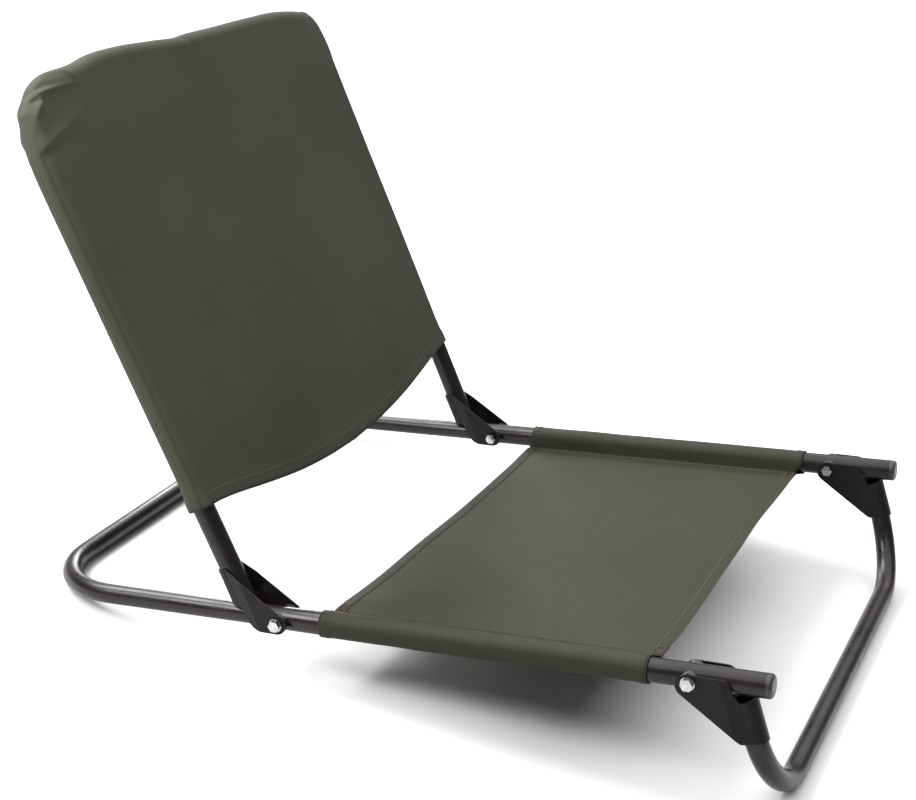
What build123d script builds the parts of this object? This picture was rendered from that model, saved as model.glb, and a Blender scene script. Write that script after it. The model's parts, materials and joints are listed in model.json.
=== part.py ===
from build123d import *
from math import asin, atan2, cos, degrees, hypot, radians, sin, sqrt, tan
import os

# Folding camp chair: two parallel seat rails, a rear floor loop that slides into them,
# a hinged front leg, a hinged reclined backrest, a cloth seat and a cloth backrest cover.
#
# Working frame: X across, "ahead" is the distance in front of the backrest pivot along
# the rails, "up" is the height above the rail centre line. The last step tips the rails
# up at the front so that loop and leg both stand on the floor.

# ---- seat frame -------------------------------------------------------------------
RAIL_SPACING = 534.0        # between rail centre lines
RAIL_D = 22.0
RAIL_BORE = 19.2
RAIL_REAR = -24.0           # rear end of the rail, ahead of the backrest pivot
RAIL_FRONT = 458.7          # front end of the tube, without its plug
LOOP_D = 19.0
LOOP_WALL = 1.2
LOOP_REACH = 273.2          # pivot to the rear bar
LOOP_INSERT = 27.0          # how far the loop runs inside the rail past the pivot
LOOP_BEND = 85.0
DRAIN_HOLE_D = 4.5
DRAIN_HOLE_AHEAD = 12.5
PLUG_HEAD = 5.5
PLUG_STEM = 16.0
PLUG_ROUND = 3.5

# ---- pivots -----------------------------------------------------------------------
LEG_PIVOT = 393.5           # front pivot, ahead of the backrest pivot
BOLT_D = 6.0
BOLT_HOLE_D = 6.1
BOLT_HEX = 10.0             # across flats
BOLT_HEAD = 4.0
FLANGE_D = 12.8
FLANGE_T = 1.2
NUT_HEX_T = 5.8
NUT_COLLAR_T = 2.0
NUT_COLLAR_D = 8.6
BOLT_TIP = 1.6              # thread showing past the nut
CLEAR = 0.3                 # side play between turning and fixed pieces
SPACER_D = 16.0

# ---- folded brackets ----------------------------------------------------------------
SHEET = 1.4
CHEEK_GAP = 14.6            # half the distance between the cheeks at the bolt
FLARE = 12.0                # distance over which the cheeks open out
CHEEK_REACH = 70.0          # cheeks before they are trimmed to their outline
RAIL_STOP = 0.4             # play between a bracket's wrap and the rail it rests on

# ---- backrest -----------------------------------------------------------------------
UPRIGHT_D = 21.0
UPRIGHT_WALL = 1.2
UPRIGHT_FOOT = -33.5        # where the upright's axis meets the rail's axis
RECLINE = 21.4              # lean back from square to the rails, degrees
SPLAY = 1.75                # outward lean of each upright, degrees
BACK_HEIGHT = 519.5         # rail axis to top bar axis, along the upright
BACK_BEND = 76.0
UPRIGHT_END = 16.6
BACK_WRAP_R = 11.1          # inside of the bracket's half round wrap
BACK_BRACKET_TOP = 51.0
BACK_TIP_R = 10.0           # round end of the cheeks at the bolt
BACK_CHEEK_LOW = [(-19, -9.6), (-25, -7.4), (-29.5, -3.4), (-33, 2.2)]   # (ahead, up)
BACK_WRAP_END = -37.5       # ahead, where the cheek meets the wrap's foot

# ---- front leg ----------------------------------------------------------------------
LEG_D = 20.5
LEG_WALL = 1.2
LEG_BAR_AHEAD = 465.4
LEG_BAR_DROP = 117.4
LEG_RAKE = 14.8             # forward lean from square to the rails, degrees
LEG_BEND = 73.0
LEG_END = 15.3
LEG_WRAP_R = 10.7
LEG_BRACKET_TOP = 15.1
LEG_BRACKET_END = 57.0      # lower end in front of the leg
LEG_BRACKET_BACK = 51.0     # and behind it
LEG_BRACKET_LIP = 8.6       # width behind the leg's axis there
LEG_CHEEK_START = (431.5, -6.5)    # (ahead, up) of the cheek's front notch
LEG_CORNER = (421.5, -1.0)         # centre of the cheek's front upper corner
LEG_CORNER_R = 8.0
LEG_TIP = (392.5, -3.0)            # centre of its round end at the bolt
LEG_TIP_R = 10.6

# ---- cloth --------------------------------------------------------------------------
CLOTH = 1.2
SLEEVE_R = 11.3
SLEEVE_REAR = 38.0
SLEEVE_FRONT = 359.0
PANEL_REAR = 43.0
PANEL_FRONT = 357.0
PANEL_DROP = 4.0
PANEL_GAP = 0.1             # between the panel's edge and the sleeve's widest line
COVER_R = 10.9
COVER_T = 1.0
COVER_SIDE = 122.0          # cover's lower edge at the uprights, along the upright
COVER_MIDDLE = 77.0         # and at mid width

HALF = RAIL_SPACING / 2
SIDES = {"left": 1, "right": -1}


def point(x, ahead, up):
    return Vector(x, -ahead, up)


def rod(radius, x0, x1, ahead=0.0, up=0.0):
    """Solid cylinder along X."""
    plane = Plane(origin=point(x0, ahead, up), x_dir=(0, 1, 0), z_dir=(1, 0, 0))
    return extrude(plane * Circle(radius), amount=x1 - x0)


def tube_along(path, outer, inner):
    """Round tube swept along a wire."""
    start = Plane(origin=path @ 0, z_dir=path % 0)
    return sweep(start * Circle(outer), path=path) - sweep(start * Circle(inner), path=path)


def straight(radius, x, ahead0, ahead1):
    """Solid cylinder along a rail."""
    plane = Plane(origin=point(x, ahead0, 0), x_dir=(1, 0, 0), z_dir=(0, -1, 0))
    return extrude(plane * Circle(radius), amount=ahead1 - ahead0)


def cross_holes(x, ahead, diameter):
    return rod(diameter / 2, x - RAIL_D, x + RAIL_D, ahead)


def rail(side):
    x = side * HALF
    body = straight(RAIL_D / 2, x, RAIL_REAR, RAIL_FRONT)
    body -= straight(RAIL_BORE / 2, x, RAIL_REAR - 1, RAIL_FRONT + 1)
    body -= cross_holes(x, 0, BOLT_HOLE_D)
    body -= cross_holes(x, LEG_PIVOT, BOLT_HOLE_D)
    return body - cross_holes(x, DRAIN_HOLE_AHEAD, DRAIN_HOLE_D)


def rail_plug(side):
    """Plug pushed into the front end of a rail, with a rounded head."""
    x = side * HALF
    head = straight(RAIL_D / 2, x, RAIL_FRONT, RAIL_FRONT + PLUG_HEAD)
    head = fillet(head.edges().sort_by(Axis.Y)[0], PLUG_ROUND)
    return head + straight(RAIL_BORE / 2 - 0.1, x, RAIL_FRONT - PLUG_STEM, RAIL_FRONT)


def rear_loop():
    corners = [point(-HALF, LOOP_INSERT, 0), point(-HALF, -LOOP_REACH, 0),
               point(HALF, -LOOP_REACH, 0), point(HALF, LOOP_INSERT, 0)]
    path = FilletPolyline(*corners, radius=LOOP_BEND)
    body = tube_along(path, LOOP_D / 2, LOOP_D / 2 - LOOP_WALL)
    for side in SIDES.values():
        body -= cross_holes(side * HALF, 0, BOLT_HOLE_D)
    return body


def pivot_bolt(side, ahead):
    """Flanged hexagon bolt, head outside the chair."""
    seat = CHEEK_GAP + SHEET + CLEAR
    plane = Plane(origin=point(side * (HALF + seat), ahead, 0), x_dir=(0, 1, 0), z_dir=(side, 0, 0))
    body = extrude(plane * Circle(FLANGE_D / 2), amount=FLANGE_T)
    body += extrude(plane * RegularPolygon(BOLT_HEX / sqrt(3), 6), amount=FLANGE_T + BOLT_HEAD)
    shank = 2 * seat + NUT_HEX_T + NUT_COLLAR_T + BOLT_TIP
    return body + extrude(plane * Circle(BOLT_D / 2), amount=-shank)


def pivot_nut(side, ahead):
    """Hexagon lock nut with a round collar, inside the chair."""
    seat = CHEEK_GAP + SHEET + CLEAR
    plane = Plane(origin=point(side * (HALF - seat), ahead, 0), x_dir=(0, 1, 0), z_dir=(-side, 0, 0))
    body = extrude(plane * RegularPolygon(BOLT_HEX / sqrt(3), 6), amount=NUT_HEX_T)
    body += extrude(plane * Circle(NUT_COLLAR_D / 2), amount=NUT_HEX_T + NUT_COLLAR_T)
    return body - extrude(plane * Circle(BOLT_D / 2), amount=NUT_HEX_T + NUT_COLLAR_T)


def pivot_spacer(side, ahead, out):
    """Saddle washer between the rail and one cheek."""
    x = side * HALF
    reach = CHEEK_GAP - 2 * CLEAR
    body = rod(SPACER_D / 2, min(x, x + out * reach), max(x, x + out * reach), ahead)
    body -= straight(RAIL_D / 2, x, ahead - SPACER_D, ahead + SPACER_D)
    return body - cross_holes(x, ahead, BOLT_HOLE_D)


def channel_section(plane, inner, length):
    """Folded sheet: a half round wrap whose cheeks open out and then run parallel."""
    outer = inner + SHEET
    cheek = CHEEK_GAP + SHEET
    far = CHEEK_REACH
    with BuildSketch(plane) as section:
        with BuildLine():
            ThreePointArc((0, outer), (-outer, 0), (0, -outer))
            Polyline((0, -outer), (FLARE, -cheek), (far, -cheek), (far, -CHEEK_GAP),
                     (FLARE, -CHEEK_GAP), (0, -inner))
            ThreePointArc((0, -inner), (-inner, 0), (0, inner))
            Polyline((0, inner), (FLARE, CHEEK_GAP), (far, CHEEK_GAP), (far, cheek),
                     (FLARE, cheek), (0, outer))
        make_face()
    return extrude(section.sketch, amount=length)


def side_outline(x, profile):
    """Block across the whole bracket with the cheek's outline (ahead, up)."""
    plane = Plane(origin=point(x - RAIL_D, 0, 0), x_dir=(0, 1, 0), z_dir=(1, 0, 0))
    flat = [(-ahead, up) for ahead, up in profile]
    return extrude(plane * make_face(Polyline(*flat, close=True)), amount=2 * RAIL_D)


def arc_points(centre, radius, start, end, count=9):
    """Points round an arc, angles in degrees from straight ahead."""
    step = (end - start) / (count - 1)
    angles = [radians(start + i * step) for i in range(count)]
    return [(centre[0] + radius * cos(t), centre[1] + radius * sin(t)) for t in angles]


def on_upright(along, forward):
    """(ahead, up) of a point beside the upright's axis, seen from the side."""
    lean = radians(RECLINE)
    return (UPRIGHT_FOOT - along * sin(lean) + forward * cos(lean), along * cos(lean) + forward * sin(lean))


def back_bracket(side):
    x = side * HALF
    lean = radians(RECLINE)
    base = on_upright(-40, 0)
    plane = Plane(origin=point(x, *base), x_dir=(0, -cos(lean), sin(lean)), z_dir=(0, sin(lean), cos(lean)))
    body = channel_section(plane, BACK_WRAP_R, BACK_BRACKET_TOP + 40)
    stop = RAIL_D / 2 + RAIL_STOP
    profile = [on_upright(BACK_BRACKET_TOP, -20), on_upright(BACK_BRACKET_TOP, 1.5)]
    profile += arc_points((0, 0), BACK_TIP_R, 52, -90)
    profile += BACK_CHEEK_LOW + [(BACK_WRAP_END, stop), (BACK_WRAP_END - RAIL_D, stop)]
    body = body & side_outline(x, profile)
    return body - cross_holes(x, 0, BOLT_HOLE_D)


def on_leg(along, back):
    """(ahead, up) of a point beside the leg's axis, seen from the side."""
    rake = radians(LEG_RAKE)
    foot = LEG_BAR_AHEAD - LEG_BAR_DROP * tan(rake)
    return (foot + along * sin(rake) - back * cos(rake), -along * cos(rake) - back * sin(rake))


def leg_bracket(side):
    x = side * HALF
    rake = radians(LEG_RAKE)
    base = on_leg(-30, 0)
    behind, down = (0, cos(rake), -sin(rake)), (0, -sin(rake), -cos(rake))
    plane = Plane(origin=point(x, *base), x_dir=behind, z_dir=down)
    body = channel_section(plane, LEG_WRAP_R, LEG_BRACKET_END + 30)
    profile = [on_leg(LEG_BRACKET_TOP, -20), on_leg(LEG_BRACKET_TOP, 1.0), LEG_CHEEK_START]
    profile += arc_points(LEG_CORNER, LEG_CORNER_R, 0, 80, 6)
    profile += arc_points(LEG_TIP, LEG_TIP_R, 84, 232, 12)
    profile += [on_leg(LEG_BRACKET_BACK, LEG_BRACKET_LIP), on_leg(LEG_BRACKET_END, -20)]
    body = body & side_outline(x, profile)
    return body - cross_holes(x, LEG_PIVOT, BOLT_HOLE_D)


def back_points():
    """Ends and corners of the backrest tube's centre line."""
    spread = tan(radians(SPLAY))
    low = HALF + (UPRIGHT_END - BACK_BRACKET_TOP / 2 - 8) * spread
    top = HALF + (BACK_HEIGHT - BACK_BRACKET_TOP / 2 - 8) * spread
    foot = on_upright(UPRIGHT_END, 0)
    head = on_upright(BACK_HEIGHT, 0)
    return [point(-low, *foot), point(-top, *head), point(top, *head), point(low, *foot)]


def back_tube():
    path = FilletPolyline(*back_points(), radius=BACK_BEND)
    return tube_along(path, UPRIGHT_D / 2, UPRIGHT_D / 2 - UPRIGHT_WALL)


def cover_body(radius):
    """Backrest tube and the flat space inside it, grown to a radius."""
    corners = back_points()
    path = FilletPolyline(*corners, radius=BACK_BEND)
    start = Plane(origin=path @ 0, z_dir=path % 0)
    body = sweep(start * Circle(radius), path=path)
    slab = make_face(path.edges() + Line(corners[3], corners[0]).edges())
    lean = radians(RECLINE)
    normal = Vector(0, -cos(lean), sin(lean))
    slab = extrude(slab, amount=radius, dir=normal) + extrude(slab, amount=radius, dir=-normal)
    return body + slab


def cover_cut():
    """Block above the cover's lower edge, a shallow arc that hangs lowest at mid width."""
    lean = radians(RECLINE)
    origin = point(0, UPRIGHT_FOOT, 0)
    plane = Plane(origin=origin, x_dir=(1, 0, 0), z_dir=(0, -cos(lean), sin(lean)))
    wide = HALF + 60
    high = BACK_HEIGHT + 60
    with BuildSketch(plane) as outline:
        with BuildLine():
            ThreePointArc((-wide, COVER_SIDE), (0, COVER_MIDDLE), (wide, COVER_SIDE))
            Polyline((wide, COVER_SIDE), (wide, high), (-wide, high), (-wide, COVER_SIDE))
        make_face()
    return extrude(outline.sketch, amount=40, both=True)


def back_cover():
    """Pillowcase cover: cloth over the front, the back, the sides and the top bar."""
    shell = cover_body(COVER_R + COVER_T) - cover_body(COVER_R)
    return shell & cover_cut()


def leg_tube():
    foot = on_leg(LEG_END, 0)
    bar = (LEG_BAR_AHEAD, -LEG_BAR_DROP)
    corners = [point(-HALF, *foot), point(-HALF, *bar), point(HALF, *bar), point(HALF, *foot)]
    path = FilletPolyline(*corners, radius=LEG_BEND)
    return tube_along(path, LEG_D / 2, LEG_D / 2 - LEG_WALL)


def seat_sleeve(side):
    x = side * HALF
    body = straight(SLEEVE_R + CLOTH, x, SLEEVE_REAR, SLEEVE_FRONT)
    return body - straight(SLEEVE_R, x, SLEEVE_REAR - 1, SLEEVE_FRONT + 1)


def seat_panel():
    reach = HALF - SLEEVE_R - CLOTH - PANEL_GAP
    middle = point(0, (PANEL_REAR + PANEL_FRONT) / 2, -PANEL_DROP)
    return Pos(middle) * Box(2 * reach, PANEL_FRONT - PANEL_REAR, CLOTH)


def build_parts():
    parts = {
        "rear_loop": rear_loop(),
        "seat_panel": seat_panel(),
        "backrest_tube": back_tube(),
        "backrest_cover": back_cover(),
        "leg_tube": leg_tube(),
    }
    for name, side in SIDES.items():
        parts[f"rail_{name}"] = rail(side)
        parts[f"rail_plug_{name}"] = rail_plug(side)
        parts[f"seat_sleeve_{name}"] = seat_sleeve(side)
        parts[f"backrest_bracket_{name}"] = back_bracket(side)
        parts[f"leg_bracket_{name}"] = leg_bracket(side)
        for pivot, ahead in (("backrest", 0.0), ("leg", LEG_PIVOT)):
            parts[f"{pivot}_bolt_{name}"] = pivot_bolt(side, ahead)
            parts[f"{pivot}_nut_{name}"] = pivot_nut(side, ahead)
            parts[f"{pivot}_spacer_outer_{name}"] = pivot_spacer(side, ahead, side)
            parts[f"{pivot}_spacer_inner_{name}"] = pivot_spacer(side, ahead, -side)
    return parts


def floor_angle():
    """Tilt that stands the rear bar and the leg's bar on one floor, in degrees."""
    run = LEG_BAR_AHEAD + LOOP_REACH
    lean = atan2(LEG_BAR_DROP, run)
    return degrees(lean + asin((LEG_D - LOOP_D) / 2 / hypot(run, LEG_BAR_DROP)))


def stand(parts):
    """Tip the chair onto the floor and centre it over the origin."""
    tilt = Rot(-floor_angle(), 0, 0)
    tipped = {name: tilt * shape for name, shape in parts.items()}
    box = Compound(children=[Compound(shape.wrapped) for shape in tipped.values()]).bounding_box()
    shift = Pos(-box.center().X, -box.center().Y, -box.min.Z)
    return {name: shift * shape for name, shape in tipped.items()}, shift * tilt


def main():
    os.makedirs("parts", exist_ok=True)
    parts, placed = stand(build_parts())
    for name, shape in parts.items():
        solids = shape.solids()
        export_step(solids[0] if len(solids) == 1 else Compound(children=solids), f"parts/{name}.step")
    for pivot, ahead in (("backrest", 0.0), ("leg", LEG_PIVOT)):
        centre = (placed * Pos(point(0, ahead, 0))).position
        print(pivot, "pivot", round(centre.X, 3), round(centre.Y, 3), round(centre.Z, 3))
    print("tilt", round(floor_angle(), 4), "parts", len(parts))


if __name__ == "__main__":
    main()
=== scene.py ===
import json
import math

import bmesh
import bpy
import numpy as np
from mathutils import Matrix, Vector, noise


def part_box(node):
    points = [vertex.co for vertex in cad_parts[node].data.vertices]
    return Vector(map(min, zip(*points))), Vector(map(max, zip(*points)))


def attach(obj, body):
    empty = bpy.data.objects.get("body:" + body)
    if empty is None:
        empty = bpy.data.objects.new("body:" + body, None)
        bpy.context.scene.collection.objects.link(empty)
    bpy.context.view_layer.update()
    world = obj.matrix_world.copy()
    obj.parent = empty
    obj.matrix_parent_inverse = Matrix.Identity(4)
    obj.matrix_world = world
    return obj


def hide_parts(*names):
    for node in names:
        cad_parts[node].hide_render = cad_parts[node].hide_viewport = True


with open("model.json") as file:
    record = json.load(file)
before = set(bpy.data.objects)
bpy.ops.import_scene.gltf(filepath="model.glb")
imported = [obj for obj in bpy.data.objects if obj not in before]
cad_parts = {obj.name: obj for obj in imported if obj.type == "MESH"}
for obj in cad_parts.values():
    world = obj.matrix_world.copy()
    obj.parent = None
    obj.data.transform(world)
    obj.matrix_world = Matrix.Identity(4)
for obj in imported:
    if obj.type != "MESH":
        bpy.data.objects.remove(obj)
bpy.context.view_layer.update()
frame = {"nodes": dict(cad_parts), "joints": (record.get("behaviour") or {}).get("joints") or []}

# Folding camp chair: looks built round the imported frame. Metres throughout.
#
# Chair coordinates: "right" is the distance towards the sitter's right, "ahead" the
# distance in front of the backrest hinge along the rails, "up" the height above the rail
# centre line. Backrest coordinates: "right", "along" the uprights, "out" towards the sitter.

MM = 0.001
HINGES = {joint["name"]: np.array(joint["pos_m"]) for joint in frame["joints"]}
ORIGIN = HINGES["backrest_fold"]
AHEAD = HINGES["leg_fold"] - ORIGIN
AHEAD = AHEAD / np.linalg.norm(AHEAD)
ACROSS = np.array([-1.0, 0.0, 0.0])
UP = np.cross(ACROSS, AHEAD)

rail_low, rail_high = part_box("rail_right")
RAIL = abs(rail_low.x + rail_high.x) / 2        # centre plane to a rail's centre line

# Sides of the chair, and the sign of "right" there.
SIDES = (("right", 1), ("left", -1))
# Free edges of the seat's panel, and the sign of "ahead" towards its middle.
FREE_EDGES = (("rear", 1), ("front", -1))

# ---- backrest tube and cover --------------------------------------------------------
RECLINE = math.radians(21.4)
SPLAY = math.radians(1.75)
UPRIGHT_FOOT = -33.5 * MM       # where an upright's axis meets the rail's axis
SPLAY_FROM = 33.5 * MM          # height at which the uprights are as far apart as the rails
TUBE_TOP = 519.5 * MM           # top bar's axis, along the upright
TUBE_BEND = 76.0 * MM           # radius of the tube's axis at its top corners
TUBE_FACE = 10.85 * MM          # least distance of the cloth's outer face from the tube's axis
COVER_R = 12.6 * MM             # cloth's outer face, from the tube's axis
CLOTH_T = 0.7 * MM
GRID = 4.0 * MM                 # spacing of the cloth meshes
FINE_GRID = 1.6 * MM            # and within GATHER_SPAN of the gathered corner's edges
GATHER_SPAN = 105.0 * MM
LOW_CORNER = 110.0 * MM         # height of the cover's lower corners, along the uprights

# ---- seat sling ---------------------------------------------------------------------
SLEEVE_R = 12.3 * MM
SLEEVE_REAR = {"right": 41.5 * MM, "left": 48.0 * MM}      # ahead of the backrest hinge
SLEEVE_FRONT = {"right": 355.5 * MM, "left": 364.5 * MM}
SEAM = {"right": (20.0 * MM, 4.0 * MM), "left": (14.5 * MM, -8.5 * MM)}   # inboard of the rail, up
SEAM_ALLOWANCE = 9.0 * MM
# Free edges of the panel: share of the width from the left seam, millimetres ahead.
PANEL_EDGE = {
    "rear": [(0, 46), (0.15, 47.7), (0.4, 48.3), (0.56, 45.9), (0.85, 45.5), (1, 43.8)],
    "front": [(0, 358), (0.1, 356.5), (0.28, 353.4), (0.45, 355), (0.7, 358.1), (0.88, 359.7),
              (1, 359.6)],
}
EAR = 7.0 * MM                  # how far from its seam a sleeve's end meets the panel's edge
PANEL_SAG = 3.5 * MM
HEM_WIDTH = 11.0 * MM
HEM_HEIGHT = 1.8 * MM

# ---- thread: stitch length, width, height and gap --------------------------------------
PLAIN_STITCH = (2.9 * MM, 0.8 * MM, 0.5 * MM, 1.5 * MM)
TACK_STITCH = (2.0 * MM, 1.0 * MM, 0.8 * MM, 0.25 * MM)
EDGE_STITCH = (3.4 * MM, 1.1 * MM, 0.7 * MM, 0.2 * MM)


# ---- waves of the cloth: height, length and seed ----------------------------------------
FRONT_WAVES = (1.3 * MM, 150 * MM, 3.1)
FRONT_RIPPLES = (0.35 * MM, 34 * MM, 8.4)
BACK_WAVES = (1.6 * MM, 130 * MM, 12.7)
PANEL_WAVES = (1.1 * MM, 120 * MM, 5.5)
SLEEVE_WAVES = (0.3 * MM, 30 * MM, 7.7)
HEM_WAVES = (0.25 * MM, 16 * MM, 4.4)


def chair(right, ahead, up):
    """World points from chair coordinates, one row each."""
    right, ahead, up = np.broadcast_arrays(right, ahead, up)
    rows = ORIGIN + right[..., None] * ACROSS + ahead[..., None] * AHEAD + up[..., None] * UP
    return rows - np.array([ORIGIN[0], 0.0, 0.0])


def backrest(right, along, out):
    """World points from backrest coordinates, one row each."""
    ahead = UPRIGHT_FOOT - along * math.sin(RECLINE) + out * math.cos(RECLINE)
    return chair(right, ahead, along * math.cos(RECLINE) + out * math.sin(RECLINE))


def mm(*values):
    return tuple(v * MM for v in values)


CHAIR_UP = chair(0.0, 0.0, 1.0) - chair(0.0, 0.0, 0.0)
TO_SITTER = backrest(0.0, 0.0, 1.0) - backrest(0.0, 0.0, 0.0)


def smooth_curve(points, x):
    """Smooth curve through a few control points, sampled at x."""
    px, py = (np.array(v, float) for v in zip(*points))
    slope = np.gradient(py, px)
    i = np.clip(np.searchsorted(px, x, side="right") - 1, 0, len(px) - 2)
    span = px[i + 1] - px[i]
    t = np.clip((x - px[i]) / span, 0, 1)
    rise = (2 * t**3 - 3 * t**2 + 1) * py[i] + (3 * t**2 - 2 * t**3) * py[i + 1]
    bow = (t**3 - 2 * t**2 + t) * slope[i] + (t**3 - t**2) * slope[i + 1]
    return rise + bow * span


def waves(a, b, shape):
    """Slow random rise and fall of the cloth over two coordinates."""
    height, length, seed = shape
    places = zip(np.ravel(a), np.ravel(b))
    values = [noise.noise(Vector((x / length, y / length, seed))) for x, y in places]
    return height * np.array(values).reshape(np.shape(a))


def bump(distance, width):
    """1 at no distance, fading smoothly to nothing over about twice the width."""
    return np.exp(-((distance / width) ** 2))


FOLD_FADE = 0.7                 # below 1, a fold keeps its height longer before it fades
FOLD_LEAD = 4.0                 # a fold starts a quarter of its length before its start
FOLD_SPREAD = 0.8               # how much wider a fold is at its end
FOLD_RIDGE = 0.75               # width of a crisp fold's back, as a share of its spread


def fold(a, b, start, end, width, height, crisp=0.0):
    """A ridge or crease along a line, fading out towards its end. crisp sharpens its back."""
    run = np.array(end) - np.array(start)
    length = np.hypot(*run)
    da, db = a - start[0], b - start[1]
    along = (da * run[0] + db * run[1]) / length
    across = (da * run[1] - db * run[0]) / length
    t = along / length
    fade = np.clip(1 - t, 0, 1) ** FOLD_FADE * np.clip(1 + t * FOLD_LEAD, 0, 1)
    spread = width * (1 + FOLD_SPREAD * np.clip(t, 0, 1))
    soft, sharp = bump(across, spread), np.exp(-np.abs(across) / (FOLD_RIDGE * spread))
    return height * fade * ((1 - crisp) * soft + crisp * sharp)


def make_mesh(name, points, faces, uv=None):
    mesh = bpy.data.meshes.new(name)
    mesh.from_pydata([tuple(p) for p in points], [], faces)
    mesh.update()
    if uv is not None:
        layer = mesh.uv_layers.new(name="cloth")
        loops = np.zeros(len(mesh.loops), int)
        mesh.loops.foreach_get("vertex_index", loops)
        layer.data.foreach_set("uv", np.asarray(uv, np.float32)[loops].ravel())
    mesh.polygons.foreach_set("use_smooth", [True] * len(mesh.polygons))
    piece = bpy.data.objects.new(name, mesh)
    bpy.context.collection.objects.link(piece)
    return piece


def grid_index(rows, columns):
    return np.arange(rows * columns).reshape(rows, columns)


def grid_faces(index, flip=False):
    """Quads between neighbouring vertices of a grid, without those that have closed up."""
    a, b, c, d = index[:-1, :-1], index[:-1, 1:], index[1:, 1:], index[1:, :-1]
    quads = np.stack([a, b, c, d] if not flip else [a, d, c, b], -1).reshape(-1, 4)
    return [tuple(int(v) for v in quad) for quad in quads if len(set(quad)) > 3]


def thicken(piece):
    """Gives an open sheet its cloth thickness, inwards from its face, in its mesh."""
    modifier = piece.modifiers.new("cloth", "SOLIDIFY")
    modifier.thickness = CLOTH_T
    modifier.offset = -1.0
    modifier.use_even_offset = False
    bpy.context.view_layer.update()
    graph = bpy.context.evaluated_depsgraph_get()
    mesh = bpy.data.meshes.new_from_object(piece.evaluated_get(graph))
    piece.modifiers.clear()
    piece.data = mesh


def drop_loose(piece):
    """Removes the vertices that no face uses."""
    work = bmesh.new()
    work.from_mesh(piece.data)
    bmesh.ops.delete(work, geom=[v for v in work.verts if not v.link_faces], context="VERTS")
    work.to_mesh(piece.data)
    work.free()


def turn_outward(piece, centre):
    """Makes the faces look away from a point inside."""
    work = bmesh.new()
    work.from_mesh(piece.data)
    bmesh.ops.recalc_face_normals(work, faces=work.faces)
    middle = Vector(centre)
    score = sum((f.calc_center_median() - middle).dot(f.normal) * f.calc_area() for f in work.faces)
    if score < 0:
        bmesh.ops.reverse_faces(work, faces=work.faces)
    work.to_mesh(piece.data)
    work.free()


# ---- backrest cover's outline ---------------------------------------------------------
def half_width(along):
    """Half the cover's width at a height, drawn tight over the uprights."""
    return RAIL + (along - SPLAY_FROM) * math.tan(SPLAY) + COVER_R


# Height of the cover's lower edge at distances from its lowest place.
HEM_LINE = [(0, 80), (60, 82), (116, 87), (190, 98.5), (235, 106.5), (265, 110.5), (305, 112)]
HEM_SHIFT = 6.0 * MM
HEM_FLARE = 3.0 * MM            # the cover's mouth stands wider than its sides
HEM_FLARE_REACH = 16.0 * MM


def hem_height(right):
    points = [(x * MM, y * MM) for x, y in HEM_LINE]
    return smooth_curve(points, np.abs(right + HEM_SHIFT))


# Radius of the cloth's top corners: drawn in over the bend on the sitter's right,
# standing past it on the left. The line between them has a little slack over the bar.
CORNER = {"right": 73.0 * MM, "left": 22.0 * MM}
TOP_LINE = [(-270, 523.5), (-238, 528.0), (-205, 531.2), (-160, 532.2), (-58, 533), (38, 535.4),
            (108, 539.2), (155, 538.4), (186, 534.2), (222, 533)]
TOP_DIP, TOP_DIP_AT, TOP_DIP_REACH = mm(1.6, 4, 22)     # small dip at the middle of the top


def corner_shape(side):
    """(centre across, centre along, radius) of a rounded top corner."""
    radius = CORNER[side]
    top = (TOP_LINE[-1] if side == "right" else TOP_LINE[0])[1] * MM
    return half_width(top - radius) - radius, top - radius, radius


def side_edge(side, along):
    """Half width of the cover's outline at a height."""
    _, start, radius = corner_shape(side)
    rise = np.clip((along - start) / radius, 0, 1)
    flare = HEM_FLARE * bump(along - hem_height(half_width(along)), HEM_FLARE_REACH)
    return half_width(np.minimum(along, start)) - radius * (1 - np.sqrt(1 - rise**2)) + flare


def top_edge(right):
    """Height of the cover's outline across its width."""
    high = smooth_curve([(x * MM, y * MM) for x, y in TOP_LINE], right)
    for side, sign in SIDES:
        centre, _, radius = corner_shape(side)
        run = np.clip((sign * right - centre) / radius, 0, 1)
        high = high - radius * (1 - np.sqrt(1 - run**2))
    return high - TOP_DIP * bump(right - TOP_DIP_AT, TOP_DIP_REACH)


ROLL_STEPS = 15


def edge_steps(length, left):
    """Shares from 0 to 1, closer together round the rolled edges and at the gathers."""
    rolled = COVER_R * (1 - np.cos(np.linspace(0, math.pi / 2, ROLL_STEPS)))
    first = rolled if left else np.array([0.0])
    gathers, last = length - GATHER_SPAN, length - rolled[::-1]
    plain = np.linspace(first[-1], gathers, int((gathers - first[-1]) / GRID))
    fine = np.linspace(gathers, last[0], int((last[0] - gathers) / FINE_GRID))
    return np.concatenate([first[:-1], plain[:-1], fine[:-1], last]) / length


DIAGONAL = math.sqrt(0.5)       # the grid's top corners lie halfway round the rounded corners
COVER_LENGTH = TUBE_TOP - 90 * MM


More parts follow.
